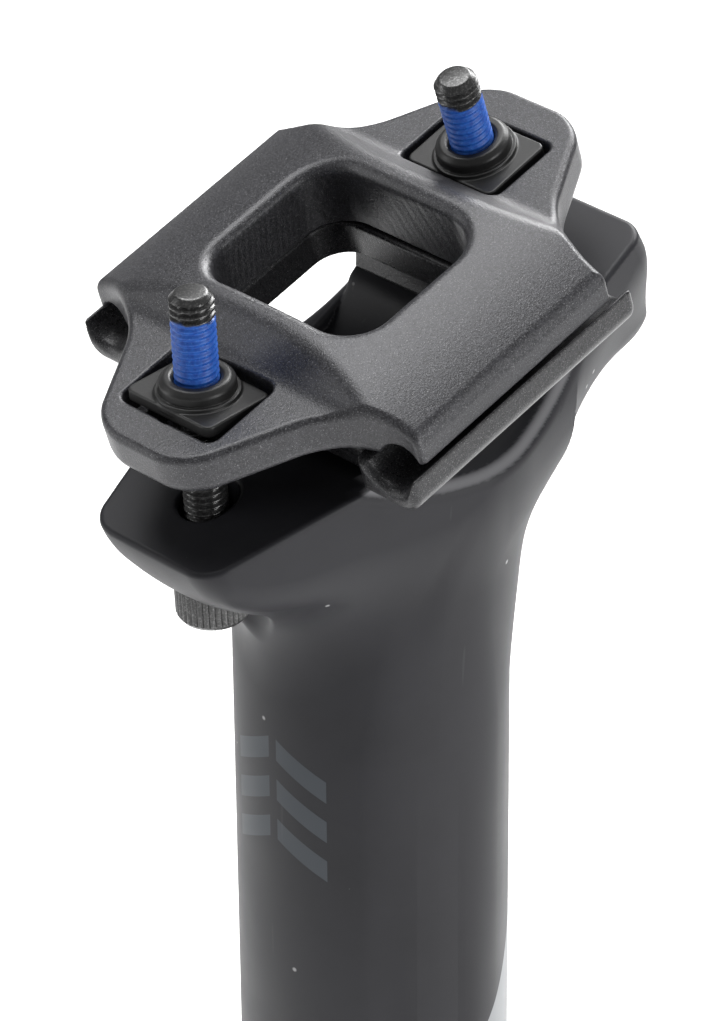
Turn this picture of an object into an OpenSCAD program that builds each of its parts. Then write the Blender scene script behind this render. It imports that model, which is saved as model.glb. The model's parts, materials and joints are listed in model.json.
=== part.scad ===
// Telescopic suspension seatpost with a two-bolt saddle clamp.
// Millimetres. +Z runs up the post, +X points to the front of the bicycle.
// The origin is on the post axis at the lower end of the insertion tube.

/* [Insertion tube] */
// Diameter of the part that goes in the frame's seat tube
insert_d = 27.2; // [27.2:0.1:27.2]
// Diameter of the running part, which the sleeve slides on
running_d = 26.6; // [26.6:0.05:26.6]
// Length of the part that may go in the frame
insert_len = 150; // [120:5:150]
// Bore of the insertion tube
tube_bore_d = 22.4; // [22.4:0.1:22.4]
// Height of the top end of the insertion tube
tube_top = 276; // [276:1:276]

/* [Suspension] */
// Travel of the sleeve down the insertion tube
travel = 40; // [20:1:40]
// Outside diameter of the spring
spring_d = 20; // [19:0.5:20.5]
// Wire diameter of the spring
spring_wire = 3.4; // [2.5:0.1:3.6]
// Turns of the spring
spring_turns = 24; // [12:1:24]
// Length of the spring with the post fully out
spring_len = 132; // [125:1:132]
// Diameter of the rod that carries the load to the spring
rod_d = 12; // [10:0.5:12]
// Travel of the preload plug
preload_travel = 10; // [4:1:10]

/* [Sleeve and head] */
// Outside diameter of the sleeve
sleeve_d = 31.6; // [31.6:0.1:31.6]
// Bore of the sleeve
sleeve_bore_d = 28.8; // [28.8:0.1:28.8]
// Height of the sleeve's lower end
sleeve_bottom = 200; // [200:1:205]
// Height of the closed end of the sleeve's bore
bore_top = 325; // [324:1:326]
// Diameter of the threaded collar at the sleeve's lower end
collar_d = 36.4; // [35:0.2:38]
// Half width of the head across the seat of the cradle
head_half_w = 19.5; // [18.5:0.5:20]
// Radius of the seat that the cradle rocks on
seat_r = 24; // [24:0.5:24]
// Radius of the channel across the head
channel_r = 10; // [9:0.5:10]

/* [Saddle clamp] */
// Slope of the clamp, front down, from square to the post
clamp_tilt = 17; // [17:0.5:17]
// Distance of the rail centres in front of the post axis
clamp_x = 2.6; // [2:0.1:3]
// Height of the rail centres
clamp_z = 350; // [350:1:350]
// Distance between the two saddle rails
rail_spacing = 44; // [44:0.5:44]
// Diameter of the saddle rails
rail_d = 7; // [7:0.1:7]
// Length of the grooves in the lower cradle
cradle_len = 36; // [34:1:36]
// Length of the middle block of the top clamp
block_len = 30.4; // [28:0.5:31]
// Width of the top clamp
block_w = 50.4; // [50.4:0.1:50.8]

/* [Clamp bolts] */
// Thread diameter
bolt_d = 5; // [5:1:5]
// Diameter of the socket heads
bolt_head_d = 8.5; // [8.5:0.1:8.7]
// Bolt length, head included
bolt_len = 41; // [40:0.5:41]
// Lean of the front bolt from the post axis
front_lean = 3; // [3:0.5:3]
// Lean of the rear bolt from the post axis
rear_lean = 18.2; // [18.2:0.1:18.2]
// Length of the front bolt above the pivot of its nut
front_reach = 13; // [13:0.5:13]
// Length of the rear bolt above the pivot of its nut
rear_reach = 11.6; // [11.6:0.2:11.6]

/* [Hidden] */
$fn = 96;
// Radial gap of a running fit, and of a part held still
fit = 0.05;
still = 0.03;
// Overrun that makes a cut clean
cut = 1;

sleeve_r = sleeve_d / 2;
bore_r = sleeve_bore_d / 2;
tube_r = insert_d / 2;
run_r = running_d / 2;
tube_bore_r = tube_bore_d / 2;
rod_r = rod_d / 2;

// Bottom end of the insertion tube: plug, spring seat and spring
plug_base = 3;
plug_h = 16;
plug_hex = 8;
seat_base = plug_base + plug_h;
seat_flange = 5;
seat_spigot = 14;
spring_base = seat_base + seat_flange;
spring_top = spring_base + spring_len;
spring_r = (spring_d - spring_wire) / 2;
spring_id = spring_d - 2 * spring_wire;
plug_pitch = 1.25;

// Bush, bumpers and rings between tube and sleeve
bush_h = 25;
bush_wall = 1.15;
bush_r = run_r + fit + bush_wall;
bush_base = sleeve_bottom + 3;
bush_top = bush_base + bush_h;
topout_h = 9;
stop_h = 1.6;
stop_base = bush_top + topout_h;
stop_r = bore_r - 0.2;
stop_depth = 0.7;
ring_base = 250;
ring_h = 7;
ring_depth = 0.6;
key_d = 2.6;
key_len = 12;
key_base = 261;
key_count = 3;
key_out = 0.3;
guide_h = 14;
bumper_h = 8;
spigot_r = 5;
spigot_h = 5;

// Collar and wiper at the lower end of the sleeve
thread_depth = 0.4;
collar_base = sleeve_bottom - 6;
collar_h = 16;
collar_lip = 2;
wiper_h = 4;
wiper_base = collar_base + collar_lip;
grip_count = 24;

// Levels in the clamp frame, measured from the plane of the rail centres
plate_base = -0.9;
cradle_top = -1.2;
lip_base = -5.9;
ear_top = 4.5;
crown_top = 8;
crown_r = 65;
head_top = -9;
rail_y = rail_spacing / 2;
rail_r = rail_d / 2;
lip_half_w = 25.7;

// Rocker: the centre that the cradle turns about
rocker_u = -2;
rocker_w = 9.5;
channel_u = -2.7;
channel_w = -7.6;
foot_half_w = 15;

// Nut pivots, in the clamp frame
pivot_w = 3.9;
front_pivot_u = 22.9;
rear_pivot_u = -21.9;

// Nut: a plate with a collar on top and a round keel below
nut_len = 9.4;
nut_w = 13;
nut_rise = 0.6;
nut_drop = 0.8;
nut_collar_d = 8.5;
nut_collar_h = 2.1;
nut_chamfer = 0.5;
keel_r = 3.4;
pocket_len = 10.4;
pocket_w = 14.6;
pocket_gap = 0.4;
pocket_floor = 1.1;

// Washer: flat under the bolt head, round where it meets the head of the post
bolt_head_h = 5;
washer_ball_r = 7;
washer_ball_drop = 4;
washer_r = 4.7;
washer_bore_r = 2.7;
socket_af = 4;
socket_depth = 2.8;

// ---------- shared shapes ----------

// Ring or tube along Z
module ring(outer_r, inner_r, base, h) {
    translate([0, 0, base])
        difference() {
            cylinder(r = outer_r, h = h);
            translate([0, 0, -cut]) cylinder(r = inner_r, h = h + 2 * cut);
        }
}

// Cylinder across the post, centred on y = 0
module cross_rod(r, w) {
    rotate([90, 0, 0]) cylinder(r = r, h = w, center = true);
}

// Slot along Z, as long as gap more than its width
module slot(r, from, to, base, h) {
    for (x = [from, to]) translate([x, 0, base]) cylinder(r = r, h = h, $fn = 48);
    translate([from, -r, base]) cube([to - from, 2 * r, h]);
}

// Moves its children from the clamp frame to the post's frame
module clamp_frame() {
    translate([clamp_x, 0, clamp_z]) rotate([0, clamp_tilt, 0]) children();
}

// Moves its children to a nut's pivot, with +Z along the bolt
module bolt_frame(pivot_u, lean) {
    clamp_frame()
        translate([pivot_u, 0, pivot_w])
            rotate([0, lean - clamp_tilt, 0]) children();
}

// Round bars that stop the sleeve from turning
module key_bars(r, base, h) {
    for (i = [0 : key_count - 1])
        rotate([0, 0, 60 + i * 360 / key_count])
            translate([run_r + key_out, 0, base]) cylinder(r = r, h = h, $fn = 32);
}

// ---------- insertion tube and spring ----------

module lower_tube() {
    color([0.13, 0.13, 0.14])
        difference() {
            union() {
                cylinder(r = tube_r, h = insert_len);
                translate([0, 0, insert_len]) cylinder(r = run_r, h = tube_top - insert_len);
            }
            translate([0, 0, -cut]) cylinder(r = tube_bore_r, h = tube_top + 2 * cut);
            // grooves for the stop ring and the slide ring
            ring(run_r + cut, run_r - stop_depth, stop_base, stop_h);
            ring(run_r + cut, run_r - ring_depth, ring_base, ring_h);
            key_bars(key_d / 2, key_base, key_len);
        }
}

module guide_plug() {
    color([0.72, 0.6, 0.36])
        ring(tube_bore_r - still, rod_r + fit, tube_top - guide_h, guide_h);
}

module slide_ring() {
    color([0.85, 0.83, 0.76])
        ring(bore_r - fit, run_r - ring_depth + still, ring_base + still, ring_h - 2 * still);
}

module guide_keys() {
    color([0.74, 0.58, 0.3])
        key_bars(key_d / 2 - still, key_base + still, key_len - 2 * still);
}

module stop_ring() {
    color([0.55, 0.55, 0.57])
        difference() {
            ring(stop_r, run_r - stop_depth + still, stop_base + still, stop_h - 2 * still);
            // gap of the spring clip
            translate([0, -1, stop_base - cut]) cube([sleeve_d, 2, stop_h + 2 * cut]);
        }
}

// The spring is drawn as stacked rings on its true pitch, closed by flat end turns
module main_spring() {
    pitch = (spring_len - spring_wire) / (spring_turns - 1);
    color([0.62, 0.63, 0.66])
        union() {
            for (i = [0 : spring_turns - 1])
                translate([0, 0, spring_base + spring_wire / 2 + i * pitch])
                    rotate_extrude($fn = 64) translate([spring_r, 0]) circle(d = spring_wire, $fn = 24);
            // strip that joins the turns into one solid
            translate([spring_r - 0.8, -0.6, spring_base + spring_wire / 2])
                cube([1.6, 1.2, spring_len - spring_wire]);
        }
}

module spring_seat() {
    color([0.2, 0.2, 0.21])
        difference() {
            union() {
                translate([0, 0, seat_base]) cylinder(r = tube_bore_r - 0.1, h = seat_flange);
                translate([0, 0, seat_base]) cylinder(d = spring_id - 0.8, h = seat_flange + seat_spigot);
            }
            translate([0, 0, seat_base + seat_flange]) cylinder(r = 3, h = seat_spigot + cut);
        }
}

module preload_plug() {
    color([0.3, 0.3, 0.31])
        difference() {
            translate([0, 0, plug_base]) cylinder(r = tube_bore_r - fit, h = plug_h);
            // hexagon for the key
            translate([0, 0, plug_base - cut])
                cylinder(d = plug_hex / cos(30), h = 8 + cut, $fn = 6);
            ring(tube_bore_r + cut, tube_bore_r - 1.6, plug_base + 9, 2);
        }
}

module plug_o_ring() {
    color([0.05, 0.05, 0.05])
        translate([0, 0, plug_base + 10])
            rotate_extrude() translate([tube_bore_r - 0.85, 0]) circle(r = 0.72, $fn = 32);
}

// ---------- sleeve, head and what they hold ----------

// Outline of the head seen square to the clamp, its ends rounded
module head_plan() {
    end_r = 3;
    front_u = 35.5;
    front_half = 8.2;
    rear_u = -32.2;
    rear_half = 11;
    hull() {
        for (s = [-1, 1]) {
            translate([front_u - end_r, s * (front_half - end_r)]) circle(r = end_r, $fn = 32);
            translate([rear_u + end_r, s * (rear_half - end_r)]) circle(r = end_r, $fn = 32);
            translate([0, s * (head_half_w - 8)]) circle(r = 8, $fn = 48);
        }
    }
}

// Trumpet that widens from the tube's radius, its arc starting at the given height
module trumpet(arc_r, base, h) {
    rotate_extrude()
        difference() {
            translate([0, base]) square([sleeve_r + arc_r, h]);
            translate([sleeve_r + arc_r, base]) circle(r = arc_r, $fn = 160);
        }
}

// Front arm: its straight underside rises from the tube to the toe
module front_arm() {
    slope = 41.2;
    rise = 30;
    intersection() {
        translate([0, 0, clamp_z - 38])
            cylinder(r1 = sleeve_r, r2 = sleeve_r + rise / tan(slope), h = rise);
        translate([0, -30, clamp_z - 40]) cube([60, 60, 40]);
    }
}

// Rear arm: its hollow underside sweeps from the tube out to the heel
module rear_arm() {
    arc_r = 20;
    intersection() {
        trumpet(arc_r, clamp_z - 37, arc_r - 0.2);
        translate([-60, -30, clamp_z - 40]) cube([60, 60, 40]);
    }
    // heel above the end of the sweep
    translate([-60, -30, clamp_z - 17.3]) cube([55, 60, 30]);
}

// Keel under both arms, narrow at the tube and as wide as the head at its top
module arm_keel() {
    keel_z = clamp_z - 39.5;
    chine_y = 8.4;
    chine_z = clamp_z - 30.3;
    side_z = clamp_z - 17;
    top_z = clamp_z + 20;
    rotate([90, 0, 90])
        linear_extrude(height = 120, center = true)
            polygon([[0, keel_z], [chine_y, chine_z], [head_half_w, side_z], [head_half_w, top_z],
                     [-head_half_w, top_z], [-head_half_w, side_z], [-chine_y, chine_z]]);
}

// Solid of the head before anything is cut in it
module head_solid() {
    depth = 40;
    intersection() {
        union() {
            trumpet(30, clamp_z - 34.7, 29);
            intersection() {
                union() {
                    front_arm();
                    rear_arm();
                }
                arm_keel();
            }
        }
        clamp_frame()
            translate([0, 0, head_top - depth])
                linear_extrude(height = depth) head_plan();
    }
}

// Bolt hole through an arm of the head: slot, round seat and counterbore
module bolt_cut(pivot_u, lean, reach) {
    under_head = reach - bolt_len + bolt_head_h;
    bolt_frame(pivot_u, lean) {
        slot(3.1, -0.9, 0.9, under_head, 26);
        intersection() {
            translate([0, 0, under_head - washer_ball_drop]) sphere(r = washer_ball_r + fit);
            translate([0, 0, under_head - 20]) cylinder(r = 6, h = 30);
        }
        translate([0, 0, under_head - 26]) cylinder(r = 6, h = 26.4);
    }
}

module post_head() {
    color([0.2, 0.2, 0.22])
        difference() {
            union() {
                translate([0, 0, sleeve_bottom + 10])
                    cylinder(r = sleeve_r, h = clamp_z - 30 - sleeve_bottom - 10);
                translate([0, 0, sleeve_bottom])
                    cylinder(r = sleeve_r - thread_depth, h = 10 + cut);
                head_solid();
            }
            // bore with the wider seat of the bush
            translate([0, 0, sleeve_bottom - cut]) cylinder(r = bore_r, h = bore_top - sleeve_bottom + cut);
            translate([0, 0, sleeve_bottom - cut]) cylinder(r = bush_r + still, h = bush_top - sleeve_bottom + cut);
            translate([0, 0, bore_top - cut]) cylinder(r = spigot_r + still, h = spigot_h + cut + 0.2);
            // grooves for the keys, open at the lower end so that the tube can be fitted
            key_bars(key_d / 2 + fit, sleeve_bottom - cut, key_base + key_len + travel - sleeve_bottom + 6);
            // rocker seat and the channel below it
            clamp_frame() {
                translate([rocker_u, 0, rocker_w]) cross_rod(seat_r, 60);
                translate([channel_u, 0, channel_w]) cross_rod(channel_r, 60);
            }
            bolt_cut(front_pivot_u, front_lean, front_reach);
            bolt_cut(rear_pivot_u, rear_lean, rear_reach);
        }
}

module push_rod() {
    rod_base = spring_top + 8;
    color([0.66, 0.67, 0.69])
        difference() {
            union() {
                translate([0, 0, rod_base]) cylinder(r = rod_r, h = bore_top - rod_base);
                translate([0, 0, bore_top - cut]) cylinder(r = spigot_r, h = spigot_h + cut);
            }
            translate([0, 0, rod_base - cut]) cylinder(r = 3.5, h = bore_top - rod_base - 12 + cut);
        }
}

module spring_cap() {
    color([0.16, 0.16, 0.17])
        union() {
            translate([0, 0, spring_top]) cylinder(r = tube_bore_r - 0.3, h = 8);
            translate([0, 0, spring_top - 10]) cylinder(d = spring_id - 0.8, h = 10 + cut);
        }
}

module sleeve_bush() {
    color([0.52, 0.5, 0.46])
        ring(bush_r, run_r + fit, bush_base, bush_h);
}

module topout_bumper() {
    color([0.1, 0.1, 0.1])
        ring(stop_r, run_r + 0.15, bush_top, topout_h);
}

module bottom_bumper() {
    color([0.1, 0.1, 0.1])
        ring(bore_r - 0.6, rod_r + still, bore_top - bumper_h, bumper_h);
}

module wiper_seal() {
    color([0.06, 0.06, 0.06])
        difference() {
            translate([0, 0, wiper_base]) cylinder(r = sleeve_r - thread_depth, h = wiper_h);
            translate([0, 0, wiper_base - cut]) cylinder(r = run_r + fit, h = wiper_h + 2 * cut);
            // lip that stands clear of the tube above the wiping edge
            translate([0, 0, wiper_base + 1.6]) cylinder(r = run_r + 0.5, h = wiper_h);
        }
}

module collar() {
    lip_r = run_r + 0.35;
    groove_r = 0.7;
    color([0.16, 0.16, 0.17])
        difference() {
            union() {
                translate([0, 0, collar_base + 1]) cylinder(d = collar_d, h = collar_h - 2);
                translate([0, 0, collar_base]) cylinder(d1 = collar_d - 2, d2 = collar_d, h = 1);
                translate([0, 0, collar_base + collar_h - 1])
                    cylinder(d1 = collar_d, d2 = collar_d - 2, h = 1);
            }
            translate([0, 0, collar_base - cut]) cylinder(r = lip_r, h = collar_h + 2 * cut);
            translate([0, 0, wiper_base])
                cylinder(r = sleeve_r - thread_depth + still, h = collar_h);
            for (i = [0 : grip_count - 1])
                rotate([0, 0, i * 360 / grip_count])
                    translate([collar_d / 2 + 0.25, 0, collar_base + 3])
                        cylinder(r = groove_r, h = collar_h - 6, $fn = 16);
        }
}

// ---------- saddle clamp ----------

// Half of the cradle's outline on the side y > 0
module cradle_plan() {
    pipe_in = 17.2;
    end_r = 1.5;
    body_half = 14;
    hull()
        for (u = [-1, 1]) {
            translate([u * (cradle_len / 2 - end_r), lip_half_w - end_r]) circle(r = end_r, $fn = 32);
            translate([u * (cradle_len / 2 - end_r), pipe_in + end_r]) circle(r = end_r, $fn = 32);
        }
    translate([-body_half, -cut]) square([2 * body_half, pipe_in + 3]);
}

module window_plan(half_u, half_y, r) {
    hull()
        for (u = [-1, 1], y = [-1, 1])
            translate([u * (half_u - r), y * (half_y - r)]) circle(r = r, $fn = 48);
}

// Everything within the rocker's radius, and outside the channel
module cradle_feet() {
    intersection() {
        translate([rocker_u, 0, rocker_w]) cross_rod(seat_r - fit, 2 * foot_half_w);
        translate([-14, -foot_half_w, -16]) cube([28, 2 * foot_half_w, 16 + lip_base + 0.5]);
    }
}

module lower_cradle() {
    color([0.16, 0.16, 0.17])
        clamp_frame()
            difference() {
                union() {
                    for (s = [0, 1])
                        mirror([0, s, 0])
                            translate([0, 0, lip_base])
                                linear_extrude(height = cradle_top - lip_base) cradle_plan();
                    cradle_feet();
                }
                for (s = [-1, 1])
                    translate([0, s * rail_y, 0])
                        rotate([0, 90, 0]) cylinder(r = rail_r, h = 60, center = true);
                translate([0, 0, -20]) linear_extrude(height = 40) window_plan(10, 13, 4);
                translate([channel_u, 0, channel_w])
                    intersection() {
                        cross_rod(channel_r + 0.6, 60);
                        translate([-20, -30, -20]) cube([40, 60, 20 + lip_base - channel_w]);
                    }
            }
}

// Outline of the top clamp: block, two ears and hollow corners between them
module clamp_plan() {
    ear_u = 32.5;
    ear_half = 7.6;
    ear_r = 3.6;
    waist_half = 15.2;
    waist_u = 17.5;
    block_r = 1.6;
    hollow = 5;
    hull()
        for (u = [-1, 1], y = [-1, 1])
            translate([u * (block_len / 2 - block_r), y * (block_w / 2 - block_r)])
                circle(r = block_r, $fn = 24);
    difference() {
        hull() {
            for (u = [-1, 1], y = [-1, 1]) {
                translate([u * (ear_u - ear_r), y * (ear_half - ear_r + 1.4)]) circle(r = ear_r, $fn = 40);
                translate([u * waist_u, y * (waist_half - 0.5)]) circle(r = 0.5, $fn = 16);
            }
            square([block_len, 2 * (waist_half + 3)], center = true);
        }
        for (u = [-1, 1], y = [-1, 1])
            translate([u * (block_len / 2 + hollow - 0.4), y * (waist_half + hollow)])
                circle(r = hollow, $fn = 48);
    }
}

// Crowned block: high in the middle, falling to the sides
module crown() {
    intersection() {
        translate([0, 0, crown_top - crown_r]) rotate([0, 90, 0])
            cylinder(r = crown_r, h = 2 * block_len, center = true, $fn = 256);
        translate([-block_len / 2 - 2, -block_w / 2, plate_base])
            cube([block_len + 4, block_w, 12]);
    }
}

// Pocket, keel seat and bolt slot for one nut
module nut_cut(pivot_u, slot_in, slot_out) {
    out = sign(pivot_u);
    corner = 1.3;
    translate([pivot_u, 0, 0]) {
        translate([0, 0, pocket_floor])
            linear_extrude(height = 10) window_plan(pocket_len / 2, pocket_w / 2, corner);
        translate([0, 0, pivot_w]) cross_rod(keel_r + pocket_gap, nut_w + 0.8);
        slot(3.1, min(-out * slot_in, out * slot_out), max(-out * slot_in, out * slot_out), -10, 20);
    }
}

module top_clamp() {
    color([0.27, 0.27, 0.29])
        clamp_frame()
            difference() {
                union() {
                    translate([0, 0, plate_base])
                        linear_extrude(height = ear_top - plate_base) clamp_plan();
                    intersection() {
                        crown();
                        translate([0, 0, plate_base]) linear_extrude(height = 20) clamp_plan();
                    }
                }
                // upper halves of the rail grooves
                for (s = [-1, 1])
                    translate([0, s * rail_y, 0])
                        rotate([0, 90, 0]) cylinder(r = rail_r, h = 60, center = true);
                translate([0, 0, -20]) linear_extrude(height = 40) window_plan(10.4, 12.4, 5);
                nut_cut(front_pivot_u, 0.3, 2.3);
                nut_cut(rear_pivot_u, 1, 1);
            }
}

// ---------- bolts, nuts and washers, each drawn along its own bolt ----------

module clamp_bolt(reach) {
    head_base = reach - bolt_len;
    tip_chamfer = 0.5;
    difference() {
        union() {
            translate([0, 0, head_base + 0.4]) cylinder(d = bolt_head_d, h = bolt_head_h - 0.4);
            translate([0, 0, head_base])
                cylinder(d1 = bolt_head_d - 0.8, d2 = bolt_head_d, h = 0.4);
            translate([0, 0, head_base + 1]) cylinder(d = bolt_d, h = bolt_len - 1 - tip_chamfer);
            translate([0, 0, reach - tip_chamfer])
                cylinder(d1 = bolt_d, d2 = bolt_d - 2 * tip_chamfer, h = tip_chamfer);
        }
        translate([0, 0, head_base - cut])
            cylinder(d = socket_af / cos(30), h = socket_depth + cut, $fn = 6);
    }
}

module clamp_washer(reach) {
    under_head = reach - bolt_len + bolt_head_h;
    difference() {
        intersection() {
            translate([0, 0, under_head - washer_ball_drop]) sphere(r = washer_ball_r);
            translate([0, 0, under_head]) cylinder(r = washer_r, h = washer_ball_r);
        }
        translate([0, 0, under_head - cut]) cylinder(r = washer_bore_r, h = washer_ball_r + 2 * cut);
    }
}

module clamp_nut() {
    collar_r = nut_collar_d / 2;
    difference() {
        union() {
            translate([0, 0, -nut_drop])
                linear_extrude(height = nut_rise + nut_drop) window_plan(nut_len / 2, nut_w / 2, 1);
            intersection() {
                cross_rod(keel_r, nut_w - 0.4);
                translate([-keel_r, -nut_w / 2, -keel_r + 0.5]) cube([2 * keel_r, nut_w, keel_r]);
            }
            translate([0, 0, nut_rise]) cylinder(r = collar_r, h = nut_collar_h - nut_chamfer);
            translate([0, 0, nut_rise + nut_collar_h - nut_chamfer])
                cylinder(r1 = collar_r, r2 = collar_r - nut_chamfer, h = nut_chamfer);
        }
        translate([0, 0, -10]) cylinder(r = bolt_d / 2 + fit, h = 20);
    }
}

module front_washer() {
    color([0.5, 0.5, 0.52]) bolt_frame(front_pivot_u, front_lean) clamp_washer(front_reach);
}

module rear_washer() {
    color([0.5, 0.5, 0.52]) bolt_frame(rear_pivot_u, rear_lean) clamp_washer(rear_reach);
}

module front_bolt() {
    color([0.15, 0.15, 0.16]) bolt_frame(front_pivot_u, front_lean) clamp_bolt(front_reach);
}

module rear_bolt() {
    color([0.15, 0.15, 0.16]) bolt_frame(rear_pivot_u, rear_lean) clamp_bolt(rear_reach);
}

module front_nut() {
    color([0.12, 0.12, 0.13]) bolt_frame(front_pivot_u, front_lean) clamp_nut();
}

module rear_nut() {
    color([0.12, 0.12, 0.13]) bolt_frame(rear_pivot_u, rear_lean) clamp_nut();
}

lower_tube();
guide_plug();
slide_ring();
guide_keys();
stop_ring();
main_spring();
spring_seat();
preload_plug();
plug_o_ring();
post_head();
push_rod();
spring_cap();
sleeve_bush();
topout_bumper();
bottom_bumper();
wiper_seal();
collar();
lower_cradle();
top_clamp();
front_washer();
front_bolt();
front_nut();
rear_washer();
rear_bolt();
rear_nut();
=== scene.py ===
"""Suspension seatpost: the detailed visual model, built on the CAD frame.

Shapes are worked out in millimetres in the post's own frame: +Z up the post, +X to the front of
the bicycle, origin at the lower end of the insertion tube. Meshes are scaled to metres once made.
The machined and forged pieces are distance fields, meshed and given the field's own normals.
"""

import json
import math

import bmesh
import bpy
import numpy as np
import openvdb
from mathutils import Matrix, Vector


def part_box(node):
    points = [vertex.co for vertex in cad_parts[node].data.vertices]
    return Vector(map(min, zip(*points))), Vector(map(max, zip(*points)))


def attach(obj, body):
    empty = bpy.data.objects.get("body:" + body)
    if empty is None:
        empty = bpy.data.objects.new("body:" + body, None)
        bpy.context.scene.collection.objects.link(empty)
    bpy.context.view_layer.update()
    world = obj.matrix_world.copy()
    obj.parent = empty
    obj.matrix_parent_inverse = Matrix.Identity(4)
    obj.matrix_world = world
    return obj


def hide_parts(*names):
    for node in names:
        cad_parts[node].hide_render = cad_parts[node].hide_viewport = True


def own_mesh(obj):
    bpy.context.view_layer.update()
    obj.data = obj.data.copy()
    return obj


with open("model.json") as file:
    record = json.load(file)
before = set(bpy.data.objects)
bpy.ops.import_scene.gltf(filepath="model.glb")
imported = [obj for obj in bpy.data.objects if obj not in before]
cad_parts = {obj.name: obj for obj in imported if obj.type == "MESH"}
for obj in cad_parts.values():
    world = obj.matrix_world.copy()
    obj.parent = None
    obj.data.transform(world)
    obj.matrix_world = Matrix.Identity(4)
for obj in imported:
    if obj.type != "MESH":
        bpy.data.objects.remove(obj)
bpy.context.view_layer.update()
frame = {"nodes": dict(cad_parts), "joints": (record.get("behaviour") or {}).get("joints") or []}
MM = 0.001
TURN = 2 * math.pi


# ---------- sizes read from the frame ----------

def box_mm(node):
    """Lowest and highest corner of a CAD node, in millimetres."""
    low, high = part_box(node)
    return np.array(low) / MM, np.array(high) / MM


def joint(name):
    """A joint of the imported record."""
    return next(j for j in frame["joints"] if j["name"] == name)


def bottom(node):
    return float(box_mm(node)[0][2])


def top(node):
    return float(box_mm(node)[1][2])


def radius(node):
    return float(box_mm(node)[1][1])


INSERT_R = radius("lower_tube")
TUBE_TOP = top("lower_tube")
COLLAR_R = radius("collar")
COLLAR_BASE = bottom("collar")
COLLAR_TOP = top("collar")
SLEEVE_BOTTOM = bottom("post_head")
BORE_TOP = top("bottom_bumper")
SPRING_BASE, SPRING_TOP = bottom("main_spring"), top("main_spring")
SPRING_R = radius("main_spring")

# Sleeve, insertion tube and spring: sizes that no box shows
SLEEVE_R = 15.8
BORE_R = 14.4
RUN_R = 13.3            # insertion tube where it runs in the sleeve
INSERT_LEN = 150.0      # length that goes into the bicycle's frame
SPRING_WIRE = 3.4
SPRING_TURNS = 24

# Saddle clamp: its own frame has u to the front, y to the left and w up
CLAMP_TILT = math.radians(17)
CLAMP_X, CLAMP_Z = 2.6, 350.0
RAIL_Y, RAIL_R = 22.0, 3.5
HEAD_TOP = -9.0         # height w of the head's flat top
HEAD_JOIN = 300.0       # height z where the shaped head becomes plain sleeve

# Seat that the cradle rocks on and the channel below it: middle (u, w) and radius
ROCKER_U, ROCKER_W, ROCKER_R = -2.0, 9.5, 24.0
CHANNEL_U, CHANNEL_W, CHANNEL_R = -2.7, -7.6, 10.0
FLANK_Y = 15.3          # the head's flanks are outside this distance from the middle plane
SEAT_CHAMFER = 1.3

# Clamp bolts
BOLT_R = 2.5
BOLT_LEN = 41.0
BOLT_HEAD_R = 4.25
BOLT_HEAD_H = 5.0
THREAD_PITCH = 0.8

# Printed marks: height of the chevrons, the diagonal band and the line round the insertion tube
MARK_Z = 292.0
BAND_Z = 251.4
LIMIT_Z = 80.0


# ---------- frames ----------

class Placement:
    """A frame turned about Y and set at a point of the post's frame."""

    def __init__(self, x, z, turn):
        self.x, self.z = x, z
        self.c, self.s = math.cos(turn), math.sin(turn)

    def into(self, x, z):
        """Post frame to this frame, for the two coordinates square to Y."""
        dx, dz = x - self.x, z - self.z
        return dx * self.c - dz * self.s, dx * self.s + dz * self.c

    def out(self, points):
        """Points or, with the origin left out, directions of this frame in the post's frame."""
        return self.turn(points) + np.array([self.x, 0, self.z])

    def turn(self, v):
        return np.column_stack([v[:, 0] * self.c + v[:, 2] * self.s, v[:, 1],
                                v[:, 2] * self.c - v[:, 0] * self.s])


class BoltPlace(Placement):
    """The frame of one clamp bolt: +Z along the bolt, origin at the pivot of its nut."""

    def __init__(self, name, reach):
        pivot, axis = joint(name)["pos_m"], joint(name)["axis"]
        super().__init__(pivot[0] / MM, pivot[2] / MM, math.atan2(axis[0], axis[2]))
        self.reach = reach
        self.under_head = reach - BOLT_LEN + BOLT_HEAD_H


POST = Placement(0, 0, 0)
CLAMP = Placement(CLAMP_X, CLAMP_Z, CLAMP_TILT)
FRONT = BoltPlace("front_bolt_turn", 13.0)
REAR = BoltPlace("rear_bolt_turn", 11.6)


# ---------- camera ----------

def make_camera():
    """Camera 31 degrees above the horizon, between the front and the left, 0.6 m from the clamp."""
    elevation, azimuth, roll = math.radians(31.0), math.radians(45.3), math.radians(-0.549)
    place = Vector((350.272, 352.485, 620.24)) * MM
    back = Vector((math.cos(elevation) * math.cos(azimuth), math.cos(elevation) * math.sin(azimuth),
                   math.sin(elevation)))
    data = bpy.data.cameras.new("camera")
    data.sensor_fit = "VERTICAL"
    data.sensor_height = 36
    data.lens = 181.6
    data.clip_start, data.clip_end = 0.01, 100
    camera = bpy.data.objects.new("camera", data)
    bpy.context.scene.collection.objects.link(camera)
    facing = (-back).to_track_quat("-Z", "Y").to_matrix().to_4x4()
    camera.matrix_world = Matrix.Translation(place) @ facing @ Matrix.Rotation(roll, 4, "Z")
    bpy.context.scene.camera = camera


# ---------- distance fields ----------

def smooth_min(a, b, k):
    h = np.maximum(k - np.abs(a - b), 0) / k
    return np.minimum(a, b) - h * h * k / 4


def smooth_max(a, b, k):
    return -smooth_min(-a, -b, k)


def round_and(a, b, r):
    """Intersection with an edge of radius r."""
    return np.minimum(-r, np.maximum(a, b)) + np.hypot(np.maximum(a + r, 0), np.maximum(b + r, 0))


def round_or(a, b, r):
    """Union with a fillet of radius r."""
    return np.maximum(r, np.minimum(a, b)) - np.hypot(np.maximum(r - a, 0), np.maximum(r - b, 0))


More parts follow.
